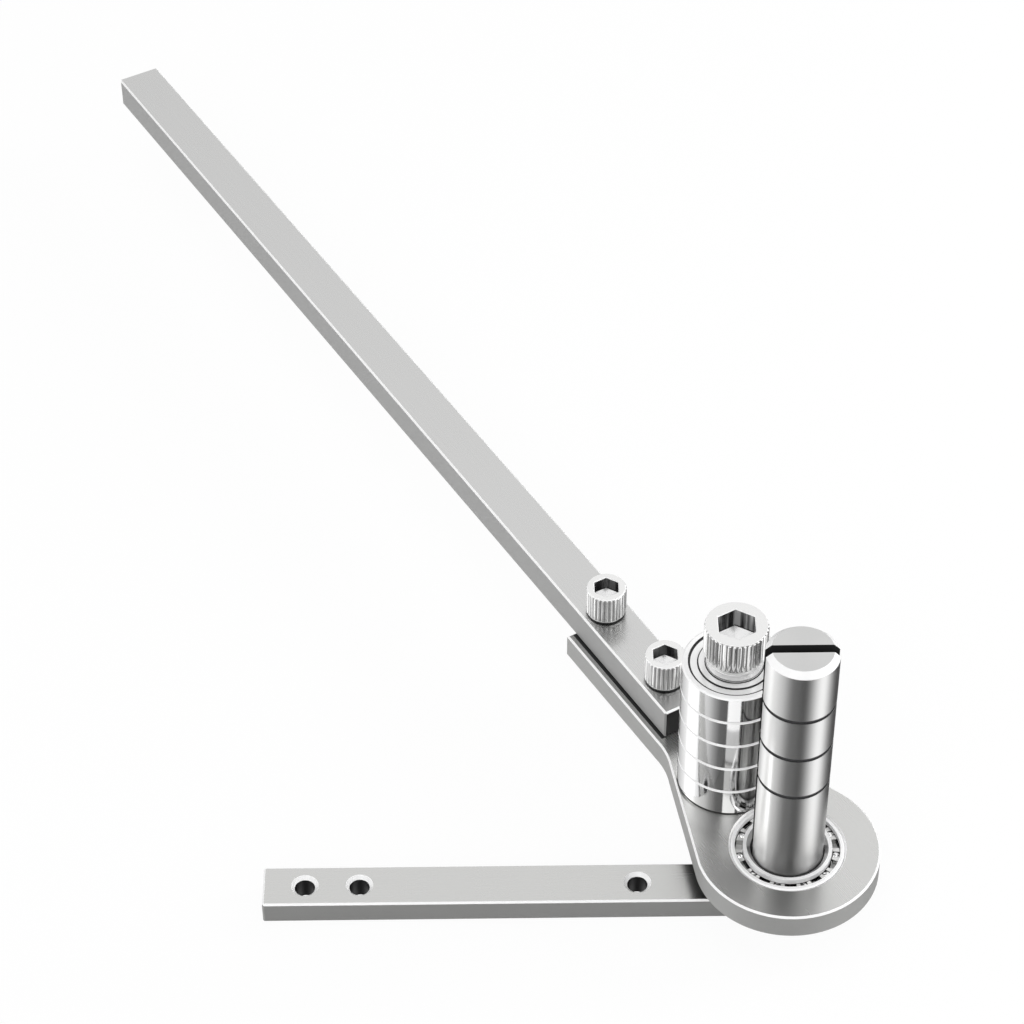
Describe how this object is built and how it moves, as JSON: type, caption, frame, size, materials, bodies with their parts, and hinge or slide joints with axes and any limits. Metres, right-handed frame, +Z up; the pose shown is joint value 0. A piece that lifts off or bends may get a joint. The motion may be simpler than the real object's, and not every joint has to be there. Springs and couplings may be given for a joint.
{
  "type": "flat bar bender",
  "caption": "Bench bender for flat strip: a slotted pin on a drilled base bar, and a lever arm that swings a ball-bearing roller round the pin.",
  "frame": {"origin": "on the pivot axis, at the underside of the base bar", "axes": "+Z up along the pivot pin, -X along the base bar, the arm at rest 120 degrees round from +X towards +Y"},
  "size_m": [0.1802, 0.2927, 0.0757],
  "materials": {
    "bar_steel": "satin",
    "plate_steel": "satin",
    "handle_steel": "satin",
    "pin_steel": "fine turned and polished",
    "race_steel": "ground and polished",
    "ball_steel": "mirror polished",
    "cage_steel": "pressed and tumbled",
    "shield_steel": "pressed, bright",
    "screw_steel": "bright plated",
    "bush_steel": "turned"
  },
  "bodies": {
    "base": {"base_bar": "bar_steel", "pivot_pin": "pin_steel", "cross_pin": "pin_steel", "pivot_spacer": "bush_steel", "pivot_inner_ring": "race_steel"},
    "arm": {"swivel_plate": "plate_steel", "pivot_outer_ring": "race_steel", "handle_bar": "handle_steel", "handle_screws": "screw_steel", "roller_bolt": "screw_steel", "roller_bush": "bush_steel", "roller_shim": "bush_steel", "roller_inner_ring_1": "race_steel", "roller_inner_ring_2": "race_steel", "roller_inner_ring_3": "race_steel", "roller_inner_ring_4": "race_steel", "roller_inner_ring_5": "race_steel"},
    "pivot_cage": {"pivot_cage": "cage_steel", "pivot_balls": "ball_steel"},
    "roller_1": {"roller_outer_ring_1": "race_steel", "roller_shields_1": "shield_steel"},
    "roller_2": {"roller_outer_ring_2": "race_steel", "roller_shields_2": "shield_steel"},
    "roller_3": {"roller_outer_ring_3": "race_steel", "roller_shields_3": "shield_steel"},
    "roller_4": {"roller_outer_ring_4": "race_steel", "roller_shields_4": "shield_steel"},
    "roller_5": {"roller_outer_ring_5": "race_steel", "roller_shields_5": "shield_steel"},
    "roller_cage_1": {"roller_cage_1": "cage_steel", "roller_balls_1": "ball_steel"},
    "roller_cage_2": {"roller_cage_2": "cage_steel", "roller_balls_2": "ball_steel"},
    "roller_cage_3": {"roller_cage_3": "cage_steel", "roller_balls_3": "ball_steel"},
    "roller_cage_4": {"roller_cage_4": "cage_steel", "roller_balls_4": "ball_steel"},
    "roller_cage_5": {"roller_cage_5": "cage_steel", "roller_balls_5": "ball_steel"}
  },
  "joints": [
    {"name": "arm_swing", "type": "hinge", "parent": "base", "child": "arm", "pos_m": [0, 0, 0], "axis": [0, 0, 1], "continuous": true},
    {"name": "pivot_cage_turn", "type": "hinge", "parent": "base", "child": "pivot_cage", "pos_m": [0, 0, 0], "axis": [0, 0, 1], "continuous": true},
    {"name": "roller_turn_1", "type": "hinge", "parent": "arm", "child": "roller_1", "pos_m": [-0.0114, 0.01975, 0], "axis": [0, 0, 1], "continuous": true},
    {"name": "roller_turn_2", "type": "hinge", "parent": "arm", "child": "roller_2", "pos_m": [-0.0114, 0.01975, 0], "axis": [0, 0, 1], "continuous": true},
    {"name": "roller_turn_3", "type": "hinge", "parent": "arm", "child": "roller_3", "pos_m": [-0.0114, 0.01975, 0], "axis": [0, 0, 1], "continuous": true},
    {"name": "roller_turn_4", "type": "hinge", "parent": "arm", "child": "roller_4", "pos_m": [-0.0114, 0.01975, 0], "axis": [0, 0, 1], "continuous": true},
    {"name": "roller_turn_5", "type": "hinge", "parent": "arm", "child": "roller_5", "pos_m": [-0.0114, 0.01975, 0], "axis": [0, 0, 1], "continuous": true},
    {"name": "roller_cage_turn_1", "type": "hinge", "parent": "arm", "child": "roller_cage_1", "pos_m": [-0.0114, 0.01975, 0], "axis": [0, 0, 1], "continuous": true},
    {"name": "roller_cage_turn_2", "type": "hinge", "parent": "arm", "child": "roller_cage_2", "pos_m": [-0.0114, 0.01975, 0], "axis": [0, 0, 1], "continuous": true},
    {"name": "roller_cage_turn_3", "type": "hinge", "parent": "arm", "child": "roller_cage_3", "pos_m": [-0.0114, 0.01975, 0], "axis": [0, 0, 1], "continuous": true},
    {"name": "roller_cage_turn_4", "type": "hinge", "parent": "arm", "child": "roller_cage_4", "pos_m": [-0.0114, 0.01975, 0], "axis": [0, 0, 1], "continuous": true},
    {"name": "roller_cage_turn_5", "type": "hinge", "parent": "arm", "child": "roller_cage_5", "pos_m": [-0.0114, 0.01975, 0], "axis": [0, 0, 1], "continuous": true}
  ],
  "couplings": [
    {"joint": "pivot_cage_turn", "follows": "arm_swing", "ratio": 0.558},
    {"joint": "roller_cage_turn_1", "follows": "roller_turn_1", "ratio": 0.6323},
    {"joint": "roller_cage_turn_2", "follows": "roller_turn_2", "ratio": 0.6323},
    {"joint": "roller_cage_turn_3", "follows": "roller_turn_3", "ratio": 0.6323},
    {"joint": "roller_cage_turn_4", "follows": "roller_turn_4", "ratio": 0.6323},
    {"joint": "roller_cage_turn_5", "follows": "roller_turn_5", "ratio": 0.6323}
  ]
}
